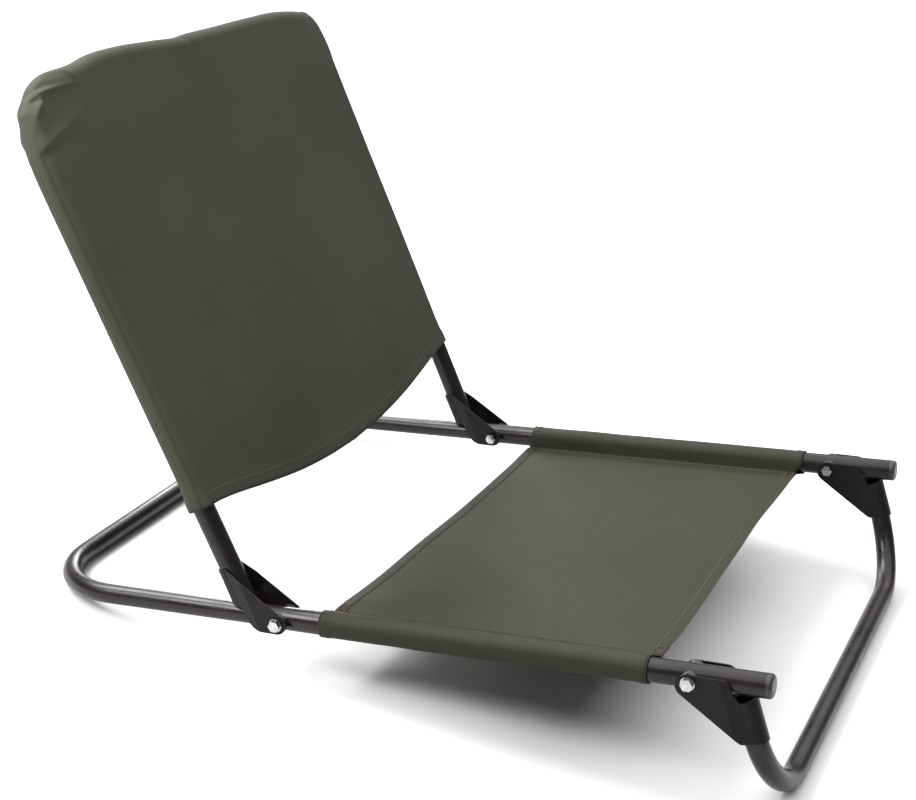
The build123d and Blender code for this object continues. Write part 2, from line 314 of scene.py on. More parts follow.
def cover_grid():
    """Right and along coordinates of the cover's front, as a patch between its four edges."""
    corner = {}
    for side, sign in SIDES:
        centre, start, radius = corner_shape(side)
        corner[side] = (sign * (centre + radius * DIAGONAL), start + radius * DIAGONAL)
    foot = float(hem_height(half_width(LOW_CORNER)))
    t = edge_steps(2 * RAIL, True)[None, :]
    s = edge_steps(COVER_LENGTH, False)[:, None]
    top_x = corner["left"][0] + t * (corner["right"][0] - corner["left"][0])
    top_y = top_edge(top_x)
    right_y = foot + s * (corner["right"][1] - foot)
    left_y = foot + s * (corner["left"][1] - foot)
    right_x = side_edge("right", right_y)
    left_x = -side_edge("left", left_y)
    low_x = left_x[0, 0] + t * (right_x[0, 0] - left_x[0, 0])
    low_y = hem_height(low_x)
    blend = (1 - s) * (1 - t), (1 - s) * t, s * (1 - t), s * t
    x = (1 - s) * low_x + s * top_x + (1 - t) * left_x + t * right_x
    x = x - blend[0] * left_x[0, 0] - blend[1] * right_x[0, 0]
    x = x - blend[2] * corner["left"][0] - blend[3] * corner["right"][0]
    y = (1 - s) * low_y + s * top_y + (1 - t) * left_y + t * right_y
    y = y - (blend[0] + blend[1]) * foot
    y = y - blend[2] * corner["left"][1] - blend[3] * corner["right"][1]
    return x, y


CHUNK = 2000                    # points worked on at a time


def path_offset(points, path):
    """Step from the nearest place on a line through many points to each point."""
    start, run = path[:-1], np.diff(path, axis=0)
    length = (run**2).sum(1)
    nearest = np.empty(points.shape)
    for i in range(0, len(points), CHUNK):
        offset = points[i:i + CHUNK, None, :] - start[None]
        t = np.clip((offset * run).sum(-1) / length, 0, 1)
        offset -= t[..., None] * run
        closest = (offset**2).sum(-1).argmin(1)
        nearest[i:i + CHUNK] = offset[np.arange(len(closest)), closest]
    return nearest


def path_distance(points, path):
    return np.linalg.norm(path_offset(points, path), axis=1)


def tube_line():
    """Centre line of the backrest tube: one upright, the top bar and the other upright."""
    head = half_width(TUBE_TOP) - COVER_R
    corner = math.pi / 2 + SPLAY
    reach = TUBE_BEND * math.tan(corner / 2)
    turn = np.linspace(0, corner, 40)
    bend = np.stack([head - reach + TUBE_BEND * np.sin(turn),
                     TUBE_TOP - TUBE_BEND * (1 - np.cos(turn))], 1)
    foot = np.array([[half_width(0.0) - COVER_R, 0.0]])
    half = np.concatenate([bend, foot])
    return np.concatenate([half[::-1] * (-1, 1), half])


def clear_of_tube(x, y, out):
    """Cloth that would dip into the backrest tube, moved back out to the tube's face."""
    offset = path_offset(np.stack([x.ravel(), y.ravel()], 1), tube_line())
    offset = np.concatenate([offset, out.reshape(-1, 1)], 1)
    away = np.linalg.norm(offset, axis=1)
    short = (np.maximum(TUBE_FACE / away, 1) - 1)[:, None] * offset
    return tuple(v + short[:, k].reshape(v.shape) for k, v in enumerate((x, y, out)))


SIDE_SAMPLES, CORNER_SAMPLES, TOP_SAMPLES = 160, 60, 420
BELOW_HEM = 60 * MM             # the sides' lines are drawn on to here


def edge_distance(x, y):
    """Distance inside the sides and the top of the outline."""
    below = hem_height(half_width(LOW_CORNER)) - BELOW_HEM
    lines = []
    for side, sign in SIDES:
        _, start, radius = corner_shape(side)
        rows = np.concatenate([np.linspace(below, start, SIDE_SAMPLES)[:-1],
                               np.linspace(start, start + radius * DIAGONAL, CORNER_SAMPLES)])
        lines.append(np.stack([sign * side_edge(side, rows), rows], 1))
    columns = np.linspace(lines[1][-1, 0], lines[0][-1, 0], TOP_SAMPLES)
    lines.append(np.stack([columns, top_edge(columns)], 1))
    points = np.stack([x.ravel(), y.ravel()], 1)
    return np.min([path_distance(points, line) for line in lines], axis=0).reshape(x.shape)


# Gathers where the cover is drawn in over the bend, on the sitter's right: ends in
# (right, along), width, height in millimetres and crispness.
GATHERS = [
    ((278, 515.5), (196, 515.5), 2.2, 4.4, 0.8),
    ((270, 519.5), (226, 520.5), 3.2, -3.6, 0.3),
    ((286, 511.5), (256, 508.5), 2.0, -8.5, 0.5),
    ((264, 507), (300, 479), 3.4, 4.2, 0.7),
    ((280, 507), (297, 486), 2.0, -3.4, 0.4),
    ((296, 479), (286, 474), 4.5, -3.0, 0.3),
    ((286, 467), (208, 490), 6.0, 3.4, 0.6),
    ((292, 462), (214, 470), 7.0, -2.0, 0.3),
    ((252, 533), (204, 524), 4.5, -2.6, 0.5),
    ((212, 537), (196, 512), 3.0, 3.0, 0.7),
]
TOP_DIMPLES = [((-1, 537), (-18, 508), 3.0, -2.4, 0.7), ((9, 538), (-4, 512), 3.5, 1.8, 0.6)]
BACK_FOLDS = [
    ((290, 508), (214, 500), 6.0, 3.0, 0.0),
    ((288, 480), (220, 486), 6.0, 2.2, 0.0),
    ((-286, 505), (-230, 480), 7.0, 2.0, 0.0),
]
CALM = 40 * MM                  # the loose cloth's waves die out over this near its edges
RIPPLE_STRETCH = 0.6            # below 1, ripples are longer up the back than across it
# How far the cloth's free lower edge falls in, and over what height.
FRONT_SLACK, BACK_SLACK = mm(2.2, 46), mm(3.0, 60)


def folds(x, y, table):
    relief = np.zeros(np.shape(x))
    for start, end, width, height, crisp in table:
        relief += fold(x, y, mm(*start), mm(*end), width * MM, height * MM, crisp)
    return relief


def slack(x, y, amount, reach):
    """How far the cloth falls in near the middle of its lower edge, where nothing holds it out."""
    free = np.clip(1 - (x / half_width(LOW_CORNER)) ** 2, 0, 1)
    return amount * (bump(y - hem_height(x), reach) * free)


def front_relief(x, y, depth):
    """How far the front cloth stands out from, or falls in behind, its tight shape."""
    relief = folds(x, y, GATHERS + TOP_DIMPLES)
    relief += waves(x, y, FRONT_WAVES) * np.clip(depth / CALM, 0, 1)
    relief += waves(x, y * RIPPLE_STRETCH, FRONT_RIPPLES)
    return relief - slack(x, y, *FRONT_SLACK)


def back_relief(x, y, depth):
    relief = folds(x, y, BACK_FOLDS)
    relief += waves(x, y, BACK_WAVES) * np.clip(depth / CALM, 0, 1)
    return relief - slack(x, y, *BACK_SLACK)


def roll(depth):
    """Half thickness of the tight cover at a distance inside its outline."""
    inside = np.clip(1 - depth / COVER_R, 0, 1)
    return COVER_R * np.sqrt(1 - inside**2)


SEAM_ANGLE = math.radians(40)       # seam up each side, round the upright from straight out
SEAM_GROOVE = 0.9 * MM              # depth of the line of stitches itself
GROOVE_WIDTH = math.radians(5)
SEAM_STEP = 1.3 * MM                # fall of the panel's cloth inside it
STEP_RISE = math.radians(12)        # angle over which it falls
STEP_FADE = math.radians(32)        # angle over which it comes back
STEP_HOLD = 1.6                     # it is back at this many of that angle from the seam
SEAM_TOP = 470.0 * MM
SEAM_FADE = 12.0 * MM


def seam_dent(x, y, depth):
    """How far the front cloth is drawn in towards the upright, at and inside the side seams."""
    angle = np.arccos(np.clip(1 - depth / COVER_R, 0, 1))
    past = angle - SEAM_ANGLE
    step = np.clip(0.5 + past / STEP_RISE, 0, 1) * np.clip(STEP_HOLD - past / STEP_FADE, 0, 1)
    dent = SEAM_GROOVE * bump(past, GROOVE_WIDTH) + SEAM_STEP * step
    dent = dent * (half_width(y) - np.abs(x) < COVER_R) * np.clip((SEAM_TOP - y) / SEAM_FADE, 0, 1)
    return dent * np.cos(angle) * np.sign(x), dent * np.sin(angle)


COVER_HEM = 14.0 * MM
COVER_HEM_T = 0.5 * MM
RELIEF_RAMP = 5.0 * MM          # hem and folds die out over this at the outline
EAR_AT, EAR_REACH = mm(-288, 524), 26.0 * MM    # empty corner of cloth past the bend on the left
EAR_THINNING = 0.45


def cover_out(x, y, depth, face):
    """Distance of the cover's cloth from the backrest's middle plane."""
    out = roll(depth)
    flat_corner = 1 - EAR_THINNING * bump(np.hypot(x - EAR_AT[0], y - EAR_AT[1]), EAR_REACH)
    hem = COVER_HEM_T * (y - hem_height(x) < COVER_HEM)
    relief = front_relief(x, y, depth) if face == "front" else back_relief(x, y, depth)
    ramp = np.clip(depth / RELIEF_RAMP, 0, 1)
    return (out + hem * ramp) * flat_corner + relief * ramp


def cover_point(x, y, face):
    """World points on the cover's face."""
    x, y = np.atleast_1d(np.asarray(x, float)), np.atleast_1d(np.asarray(y, float))
    depth = edge_distance(x, y)
    sign = 1 if face == "front" else -1
    return backrest(x, y, sign * cover_out(x, y, depth, face))


# Places where the gathered corner's outline is drawn in: (right, along), reach, amount.
PULLS = [(298, 478, 26, 3.0), (286, 506, 7, -6.6), (267, 519, 6, 2.2)]


def gather_pull(x, y):
    """Cloth drawn in over the bend, so that the outline there steps in and out."""
    return sum(amount * MM * bump(np.hypot(x - right * MM, y - along * MM), reach * MM)
               for right, along, reach, amount in PULLS)


BACK_UV = 0.7                   # where the back's cloth starts on the flat sheet


def build_cover():
    x, y = cover_grid()
    depth = edge_distance(x, y)
    depth[:, 0] = depth[:, -1] = depth[-1, :] = 0
    rows, columns = x.shape
    pull = gather_pull(x, y)
    dent_across, dent_out = seam_dent(x, y, depth)
    front_out = cover_out(x, y, depth, "front") - dent_out
    front = backrest(*clear_of_tube(x - pull - dent_across, y, front_out))
    back = backrest(*clear_of_tube(x - pull, y, -cover_out(x, y, depth, "back")))
    index = grid_index(rows, columns)
    behind = index + rows * columns
    behind[:, 0], behind[:, -1], behind[-1, :] = index[:, 0], index[:, -1], index[-1, :]
    points = np.concatenate([front.reshape(-1, 3), back.reshape(-1, 3)])
    faces = grid_faces(index) + grid_faces(behind, flip=True)
    uv = np.stack([np.concatenate([x.ravel(), x.ravel() + BACK_UV]), np.tile(y.ravel(), 2)], 1)
    piece = make_mesh("backrest_cover_cloth", points, faces, uv)
    drop_loose(piece)
    turn_outward(piece, backrest(np.array(0.0), np.array(0.3), np.array(0.0)))
    thicken(piece)
    return piece


# ---- stitches ---------------------------------------------------------------------
STITCH_SIDES = 6
# Rings of one stitch: shares of its length, of its thickness and, for the lift, of its height.
STITCH_RINGS = [(0, 0.35, -0.5), (0.2, 0.9, 0.35), (0.5, 1, 0.55), (0.8, 0.9, 0.35), (1, 0.35, -0.5)]


def stitch_points(start, end, normal, width, height):
    """Rings of points round one stitch."""
    run = (end - start) / np.linalg.norm(end - start)
    side = np.cross(run, normal)
    points = []
    for t, swell, lift in STITCH_RINGS:
        middle = start + (end - start) * t + normal * height * lift
        for k in range(STITCH_SIDES):
            turn = 2 * math.pi * k / STITCH_SIDES
            spoke = side * math.cos(turn) * width / 2 + normal * math.sin(turn) * height / 2
            points.append(middle + spoke * swell)
    return points


def stitch_faces(base):
    """Sides and ends of the stitch whose first point is at an index."""
    count, last = STITCH_SIDES, len(STITCH_RINGS) - 1
    faces = []
    for j in range(last):
        for k in range(count):
            a, b = base + j * count + k, base + j * count + (k + 1) % count
            faces.append((a, b, b + count, a + count))
    faces.append(tuple(base + k for k in reversed(range(count))))
    faces.append(tuple(base + last * count + k for k in range(count)))
    return faces


def stitch_mesh(name, lines, stitch):
    """Short rounded thread stitches along lines of (points, outward directions)."""
    length, width, height, gap = stitch
    points, faces = [], []
    for path, outward in lines:
        steps = np.linalg.norm(np.diff(path, axis=0), axis=1)
        arc = np.concatenate([[0], np.cumsum(steps)])
        start = gap
        while start + length < arc[-1]:
            ends = [np.array([np.interp(s, arc, path[:, k]) for k in range(3)])
                    for s in (start, start + length)]
            normal = np.array([np.interp(start, arc, outward[:, k]) for k in range(3)])
            normal /= np.linalg.norm(normal)
            faces += stitch_faces(len(points))
            points += stitch_points(*ends, normal, width, height)
            start += length + gap
    return make_mesh(name, points, faces)


def on_face(path, outward=CHAIR_UP):
    """A line of stitches whose outward direction is the same all along."""
    return path, np.repeat(outward[None], len(path), 0)


def cover_line(x, y, face, lift):
    """Line on the cover's cloth and its outward directions."""
    step = 1.5 * MM             # to the neighbouring points that give the cloth's slope
    middle = cover_point(x, y, face)
    beside = cover_point(x + step, y, face)
    above = cover_point(x, y + step, face)
    normal = np.cross(beside - middle, above - middle)
    flip = np.sign((normal * TO_SITTER).sum(1)) * (1 if face == "front" else -1)
    normal = normal * flip[:, None] / np.linalg.norm(normal, axis=1)[:, None]
    return middle + normal * lift, normal


LIFT = 0.1 * MM                 # thread above the cloth
STITCH_ANGLE = math.radians(-8)
SIDE_STITCHES = mm(134, 448)    # from and to, along the uprights
HEM_STITCHES = 268.0 * MM       # half the length of the row along the cover's lower edge
HEM_STITCH_IN = 12.0 * MM


def side_line(sign, heights, angle):
    """Line up one side of the cover, at an angle round the upright from straight out."""
    axis = half_width(heights) - COVER_R
    across, out = math.cos(angle), math.sin(angle)
    reach = COVER_R + LIFT
    points = backrest(sign * (axis + reach * across), heights, np.full(len(heights), reach * out))
    inner = backrest(sign * axis, heights, np.zeros(len(heights)))
    return points, (points - inner) / reach


def build_cover_stitching():
    heights = np.linspace(*SIDE_STITCHES, 120)
    lines = [side_line(sign, heights, STITCH_ANGLE) for _, sign in SIDES]
    across = np.linspace(-HEM_STITCHES, HEM_STITCHES, 160)
    for face in ("front", "back"):
        lines.append(cover_line(across, hem_height(across) + HEM_STITCH_IN, face, LIFT))
    return stitch_mesh("backrest_cover_stitching", lines, PLAIN_STITCH)


# ---- seat sling -------------------------------------------------------------------
SLEEVE_STEPS = 44               # round a sleeve
FLAT_STEPS = 7                  # on each flat part between a sleeve's round and its seam
SEAM_GAP = 1.1 * MM             # between the two layers at a sleeve's seam
SEAT_GRID = 1.25 * GRID
SEAT_ROWS = 84


def sleeve_section(side, radius):
    """Section of one sleeve from its seam, over the rail and back under to the seam."""
    inboard, up = SEAM[side]
    reach = math.hypot(inboard, up)
    bearing = math.atan2(up, -inboard)
    opening = math.acos(radius / reach)
    turns = np.linspace(bearing - opening, bearing + opening - 2 * math.pi, SLEEVE_STEPS)
    arc = np.stack([radius * np.cos(turns), radius * np.sin(turns)], 1)
    seam = np.array([-inboard, up])
    under = seam + np.array([0, -SEAM_GAP])
    lead = seam + (arc[0] - seam) * np.linspace(0, 1, FLAT_STEPS)[:-1, None]
    tail = arc[-1] + (under - arc[-1]) * np.linspace(0, 1, FLAT_STEPS)[1:, None]
    return np.concatenate([lead, arc, tail])


def sling_section():
    """Whole section of the sling in (right, up), and which of its points are on the panel."""
    near = sleeve_section("right", SLEEVE_R) + np.array([RAIL, 0])
    far = sleeve_section("left", SLEEVE_R) * np.array([-1, 1]) + np.array([-RAIL, 0])
    count = int((near[0, 0] - far[0, 0]) / SEAT_GRID)
    t = np.linspace(0, 1, count)[1:-1, None]
    panel = far[0] + (near[0] - far[0]) * t
    steps = np.linspace(0, 1, 4)[1:, None]
    near_allowance = near[-1] + np.array([-SEAM_ALLOWANCE, -0.3 * MM]) * steps
    far_allowance = far[-1] + np.array([SEAM_ALLOWANCE, -0.3 * MM]) * steps
    left_part = np.concatenate([far, far_allowance])[::-1]
    right_part = np.concatenate([near, near_allowance])
    section = np.concatenate([left_part, panel, right_part])
    on_panel = np.zeros(len(section), bool)
    on_panel[len(left_part):len(left_part) + len(panel)] = True
    return section, on_panel


def share_across(right):
    """0 at the left seam, 1 at the right seam."""
    left_x, right_x = -RAIL + SEAM["left"][0], RAIL - SEAM["right"][0]
    return np.clip((right - left_x) / (right_x - left_x), 0, 1)


def panel_end(right, which):
    """Rear or front edge of the panel at a place across the chair."""
    points = [(share, ahead * MM) for share, ahead in PANEL_EDGE[which]]
    return smooth_curve(points, share_across(right))


def sling_end(right, up, which):
    """Rear or front edge of the whole sling, at places round its section."""
    end = panel_end(right, which)
    sleeve_ends = SLEEVE_REAR if which == "rear" else SLEEVE_FRONT
    for side, sign in SIDES:
        inboard, level = SEAM[side]
        away = np.hypot(sign * right - RAIL + inboard, up - level)
        on_sleeve = sign * right > RAIL - inboard
        share = np.where(on_sleeve, 1 - bump(away, EAR), 0)
        end = end + share * (sleeve_ends[side] - end)
    return end


# Slight ripples drawn from the panel's corners: ends as shares of its width and its depth.
RIPPLES = [((0.0, 0.0), (0.35, 0.5)), ((1.0, 1.0), (0.7, 0.45)),
           ((1.0, 0.0), (0.75, 0.4)), ((0.0, 1.0), (0.3, 0.6))]
RIPPLE_WIDTH = 0.05
RIPPLE_HEIGHT = 1.4 * MM
EDGE_HOLD = 14.0                # ripples start within a fourteenth of the width from a seam
PANEL_DEPTH = 0.32              # about how far the panel's hems are apart


def panel_drop(right, share):
    """Sag of the panel, most in the middle, with slow waves and the corners' ripples."""
    t = share_across(right)
    sag = -PANEL_SAG * 4 * t * (1 - t) * (0.75 + share * (1 - share))
    inside = np.clip(np.minimum(t, 1 - t) * EDGE_HOLD, 0, 1)
    drift = waves(right, share * PANEL_DEPTH, PANEL_WAVES)
    for corner, toward in RIPPLES:
        drift += fold(t, share, corner, toward, RIPPLE_WIDTH, RIPPLE_HEIGHT)
    return sag + drift * inside


SLEEVE_HEM = 9.0 * MM           # turned-in cloth at a sleeve's ends, and how much it stands out
SLEEVE_HEM_T = 0.45 * MM
WAVE_R = 12.0 * MM              # turns round a sleeve count as lengths at this radius


def build_sling():
    """Seat cloth as one open sheet, and its width laid flat."""
    section, on_panel = sling_section()
    share = np.linspace(0, 1, SEAT_ROWS)[:, None]
    right = np.repeat(section[None, :, 0], SEAT_ROWS, 0)
    up = np.repeat(section[None, :, 1], SEAT_ROWS, 0)
    rear, front = (sling_end(*section.T, which)[None, :] for which, _ in FREE_EDGES)
    ahead = rear + share * (front - rear)
    shares = np.repeat(share, right.shape[1], 1)
    up = up + np.where(on_panel[None, :], panel_drop(right, shares), 0)
    end = np.minimum(ahead - rear, front - ahead)
    for _, sign in SIDES:
        dx, dy = right - sign * RAIL, up
        reach = np.hypot(dx, dy)
        near = (~on_panel[None, :]) & (sign * right > 0)
        around = np.arctan2(dy, dx * sign) * WAVE_R
        swell = SLEEVE_HEM_T * (end < SLEEVE_HEM) + waves(around, ahead, SLEEVE_WAVES)
        right = np.where(near, right + dx / reach * swell, right)
        up = np.where(near, up + dy / reach * swell, up)
    arc = np.concatenate([[0], np.cumsum(np.linalg.norm(np.diff(section, axis=0), axis=1))])
    points = chair(right, ahead, up).reshape(-1, 3)
    uv = np.stack([np.repeat(arc[None], SEAT_ROWS, 0).ravel(), ahead.ravel()], 1)
    piece = make_mesh("seat_cloth", points, grid_faces(grid_index(*right.shape)), uv)
    face_up(piece)
    thicken(piece)
    return piece, float(arc[-1])


def face_up(piece):
    """Turns an open sheet so that its middle looks up, and its sleeves look out."""
    seat_y = ORIGIN[1] - 0.2
    middle = min(piece.data.polygons, key=lambda f: f.center.x**2 + (f.center.y - seat_y) ** 2)
    if middle.normal.z < 0:
        piece.data.flip_normals()


def panel_point(right, ahead, lift):
    """World points on the panel's top face."""
    t = share_across(right)
    rear, front = panel_end(right, "rear"), panel_end(right, "front")
    share = np.clip((ahead - rear) / (front - rear), 0, 1)
    level = SEAM["left"][1] + (SEAM["right"][1] - SEAM["left"][1]) * t
    return chair(right, ahead, level + panel_drop(right, share) + lift)


HEM_SIDES = 14                  # round the hem's section
HEM_OVERHANG = 1.2 * MM         # past the cloth's end
SQUARE, FLAT = 0.35, 0.6        # below 1, the section is flatter than an ellipse


def hem_outline():
    """Section of a hem, from -1 to 1 both ways."""
    outline = []
    for k in range(HEM_SIDES):
        turn = 2 * math.pi * k / HEM_SIDES
        a, b = math.cos(turn), math.sin(turn)
        outline.append((math.copysign(abs(a) ** SQUARE, a), math.copysign(abs(b) ** FLAT, b)))
    return outline


def build_hem(name, which, inward):
    """Folded and sewn edge of the panel, a flat rounded band over the cloth's end."""
    right = across_panel(-1 * MM, -1 * MM, 120)
    edge = panel_end(right, which)
    rings = []
    for a, b in hem_outline():
        ahead = edge + inward * (HEM_WIDTH / 2 - HEM_OVERHANG) + a * HEM_WIDTH / 2
        lift = b * HEM_HEIGHT / 2 - CLOTH_T / 2 + waves(right, ahead, HEM_WAVES)
        rings.append(panel_point(right, ahead, lift))
    points = np.stack(rings, 1)
    index = grid_index(len(right), HEM_SIDES)
    faces = grid_faces(np.concatenate([index, index[:, :1]], 1))
    faces += [tuple(int(v) for v in index[0][::-1]), tuple(int(v) for v in index[-1])]
    round_it = np.tile(np.linspace(0, 2 * HEM_WIDTH, HEM_SIDES), len(right))
    uv = np.stack([np.repeat(right, HEM_SIDES), round_it], 1)
    piece = make_mesh(name, points.reshape(-1, 3), faces, uv)
    turn_outward(piece, points.reshape(-1, 3).mean(0))
    return piece


def across_panel(left_inset, right_inset, count):
    """Places across the panel, at insets from its two seams."""
    first, last = -RAIL + SEAM["left"][0] + left_inset, RAIL - SEAM["right"][0] - right_inset
    return np.linspace(first, last, count)


def sleeve_ring(sign, ahead, arc, count, lift, forward=0.0):
    """Line round a sleeve between two angles, and its outward directions."""
    turns = np.linspace(*np.radians(arc), count)
    ring = np.stack([np.cos(turns) * sign, np.sin(turns)], 1)
    place = ring * (SLEEVE_R + lift)
    path = chair(sign * RAIL + place[:, 0], np.full(count, ahead), place[:, 1])
    home = chair(0.0, 0.0, 0.0)
    return path, chair(ring[:, 0], np.full(count, forward), ring[:, 1]) - home


# Heights of the thread above the cloth's face.
ON_HEM, ON_PANEL, ON_TACK, ON_SLEEVE = mm(0.7, 0.15, 0.85, 0.6)
ROW_IN = 3.0 * MM               # rows of stitches, in from the seams and the hems' inner edges
HEM_ROW_ENDS = mm(24, 26)       # in from the left rail and from the right
SEAM_ROW_END = 14.0 * MM        # in from a sleeve's ends
RING_IN = 6.5 * MM              # rings of stitches, in from a sleeve's ends
RING_ARC, EDGE_ARC = (150, -100), (128, -120)       # degrees round a sleeve


def build_sling_stitching():
    lines = []
    right = np.linspace(-RAIL + HEM_ROW_ENDS[0], RAIL - HEM_ROW_ENDS[1], 150)
    for which, inward in FREE_EDGES:
        ahead = panel_end(right, which) + inward * (HEM_WIDTH - ROW_IN)
        lines.append(on_face(panel_point(right, ahead, ON_HEM)))
    for side, sign in SIDES:
        beside = sign * (RAIL - SEAM[side][0] - ROW_IN)
        ahead = np.linspace(SLEEVE_REAR[side] + SEAM_ROW_END, SLEEVE_FRONT[side] - SEAM_ROW_END, 90)
        lines.append(on_face(panel_point(np.full(90, beside), ahead, ON_PANEL)))
    for side, sign in SIDES:
        for end, inward in ((SLEEVE_REAR[side], 1), (SLEEVE_FRONT[side], -1)):
            lines.append(sleeve_ring(sign, end + inward * RING_IN, RING_ARC, 60, ON_SLEEVE))
    return stitch_mesh("seat_stitching", lines, PLAIN_STITCH)


# Zigzag of a bar tack in millimetres, outwards to the seam and inwards from the free edge.
TACK = [(0, 1.0), (0, 9.0), (13, 9.0), (13, 1.0), (0, 1.0), (13, 9.0)]


def build_bar_tacks():
    """Box of close thread at each corner of the panel, where hem and sleeve meet."""
    lines = []
    t = np.linspace(0, 1, 14)
    for side, sign in SIDES:
        inner = RAIL - SEAM[side][0] - 1.5 * MM
        for which, inward in FREE_EDGES:
            edge = float(panel_end(np.array(sign * inner), which))
            for a, b in zip(TACK[:-1], TACK[1:]):
                across = sign * (inner - (a[0] + (b[0] - a[0]) * t) * MM)
                ahead = edge + inward * (a[1] + (b[1] - a[1]) * t) * MM
                lines.append(on_face(panel_point(across, ahead, ON_TACK)))
    return stitch_mesh("seat_bar_tacks", lines, TACK_STITCH)


def build_hem_shade_thread():
    """Dark overlock thread along the panel's free edges and round the sleeves' ends. Along the free
    edges it is also painted shade: its very dark colour stands in for the shadow under the folded
    hems.
    """
    lines = []
    right = across_panel(1 * MM, 1 * MM, 160)
    for which, inward in FREE_EDGES:
        path = panel_point(right, panel_end(right, which) - inward * 1.0 * MM, LIFT)
        lines.append(on_face(path, chair(0.0, -inward * 0.7, 0.7) - chair(0.0, 0.0, 0.0)))
    for side, sign in SIDES:
        for end, inward in ((SLEEVE_REAR[side], 1), (SLEEVE_FRONT[side], -1)):
            place = end + inward * 0.4 * MM
            lines.append(sleeve_ring(sign, place, EDGE_ARC, 70, LIFT, -inward * 0.6))
    return stitch_mesh("seat_hem_shade_thread", lines, EDGE_STITCH)


# ---- materials --------------------------------------------------------------------
class Nodes:
    """A material's node tree with short ways to add and join nodes."""

    def __init__(self, name):
        self.material = bpy.data.materials.new(name)
        self.material.use_nodes = True
        self.tree = self.material.node_tree
        self.shader = self.tree.nodes["Principled BSDF"]

    def add(self, kind, **inputs):
        node = self.tree.nodes.new(kind)
        for key, value in inputs.items():
            if key in node.inputs:
                node.inputs[key].default_value = value
            else:
                setattr(node, key, value)
        return node

    def link(self, source, target):
        self.tree.links.new(source, target)

    def math(self, operation, a, b=None):
        node = self.add("ShaderNodeMath", operation=operation)
        for socket, value in zip(node.inputs, (a, b)):
            if isinstance(value, (int, float)):
                socket.default_value = value
            elif value is not None:
                self.link(value, socket)
        return node.outputs[0]

    def ramp(self, source, stops):
        node = self.add("ShaderNodeValToRGB")
        elements = node.color_ramp.elements
        while len(elements) < len(stops):
            elements.new(0.5)
        for element, (place, colour) in zip(elements, stops):
            element.position = place
            element.color = (*colour, 1)
        self.link(source, node.inputs[0])
        return node.outputs[0]

    def noise(self, vector, scale, detail=3.0, roughness=0.5):
        node = self.add("ShaderNodeTexNoise", Scale=scale, Detail=detail, Roughness=roughness)
        self.link(vector, node.inputs["Vector"])
        return node.outputs["Fac"]

    def bumped(self, height, strength, distance, previous=None):
        node = self.add("ShaderNodeBump", Strength=strength, Distance=distance)
        self.link(height, node.inputs["Height"])
        if previous is not None:
            self.link(previous, node.inputs["Normal"])
        return node.outputs[0]

    def grey(self, value):
        return (value, value, value)


def set_shader(shader, **values):
    for key, value in values.items():
        shader.inputs[key.replace("_", " ")].default_value = value


THREAD_PITCH = 1.0 * MM


def fabric(name, dark, light, roughness):
    """Plain-weave polyester canvas with soft patches, lint and a raised weave."""
    n = Nodes(name)
    uv = n.add("ShaderNodeUVMap", uv_map="cloth").outputs[0]
    place = n.add("ShaderNodeTexCoord").outputs["Object"]
    split = n.add("ShaderNodeSeparateXYZ")
    n.link(uv, split.inputs[0])
    turns = 2 * math.pi / THREAD_PITCH
    warp = n.math("SINE", n.math("MULTIPLY", split.outputs[0], turns))
    weft = n.math("SINE", n.math("MULTIPLY", split.outputs[1], turns))
    weave = n.math("MULTIPLY_ADD", n.math("MULTIPLY", warp, weft), 0.5)
    n.tree.nodes[-1].inputs[2].default_value = 0.5
    patches = n.noise(place, 5.0, 4.0, 0.55)
    slub = n.noise(place, 260.0, 2.0, 0.6)
    mixed = n.math("ADD", n.math("MULTIPLY", patches, 0.72), n.math("MULTIPLY", slub, 0.28))
    colour = n.ramp(mixed, [(0.34, dark), (0.66, light)])
    tint = n.add("ShaderNodeMix", data_type="RGBA", blend_type="MULTIPLY")
    tint.inputs[0].default_value = 0.22
    n.link(colour, tint.inputs[6])
    n.link(n.ramp(weave, [(0.2, n.grey(0.55)), (0.8, n.grey(1.0))]), tint.inputs[7])
    n.link(tint.outputs[2], n.shader.inputs["Base Color"])
    n.link(n.ramp(slub, [(0.2, n.grey(roughness - 0.06)), (0.8, n.grey(roughness + 0.06))]),
           n.shader.inputs["Roughness"])
    coarse = n.bumped(n.noise(place, 38.0, 3.0, 0.5), 0.12, 0.0012)
    n.link(n.bumped(weave, 0.35, 0.00018, coarse), n.shader.inputs["Normal"])
    set_shader(n.shader, Specular_IOR_Level=0.12)
    return n.material


def thread(name, dark, light):
    n = Nodes(name)
    place = n.add("ShaderNodeTexCoord").outputs["Object"]
    n.link(n.ramp(n.noise(place, 420.0), [(0.3, dark), (0.7, light)]), n.shader.inputs["Base Color"])
    n.link(n.bumped(n.noise(place, 1500.0), 0.3, 0.0002), n.shader.inputs["Normal"])
    set_shader(n.shader, Roughness=0.6)
    return n.material


def coating(name, dark, light, rough, worn, gloss):
    """Baked enamel on steel: fine orange peel, dust in the gloss, a few bright nicks."""
    n = Nodes(name)
    place = n.add("ShaderNodeTexCoord").outputs["Object"]
    cloud = n.noise(place, 14.0, 5.0, 0.6)
    n.link(n.ramp(cloud, [(0.35, dark), (0.68, light)]), n.shader.inputs["Base Color"])
    specks = n.noise(place, 210.0, 2.0, 0.5)
    nick = n.ramp(specks, [(worn, n.grey(0.0)), (worn + 0.015, n.grey(1.0))])
    n.link(nick, n.shader.inputs["Metallic"])
    dusty = n.noise(place, 32.0, 4.0, 0.6)
    n.link(n.ramp(dusty, [(0.3, n.grey(rough[0])), (0.72, n.grey(rough[1]))]),
           n.shader.inputs["Roughness"])
    peel = n.bumped(n.noise(place, 520.0, 2.0, 0.4), 0.05, 0.0003)
    n.link(peel, n.shader.inputs["Normal"])
    set_shader(n.shader, Specular_IOR_Level=gloss)
    return n.material


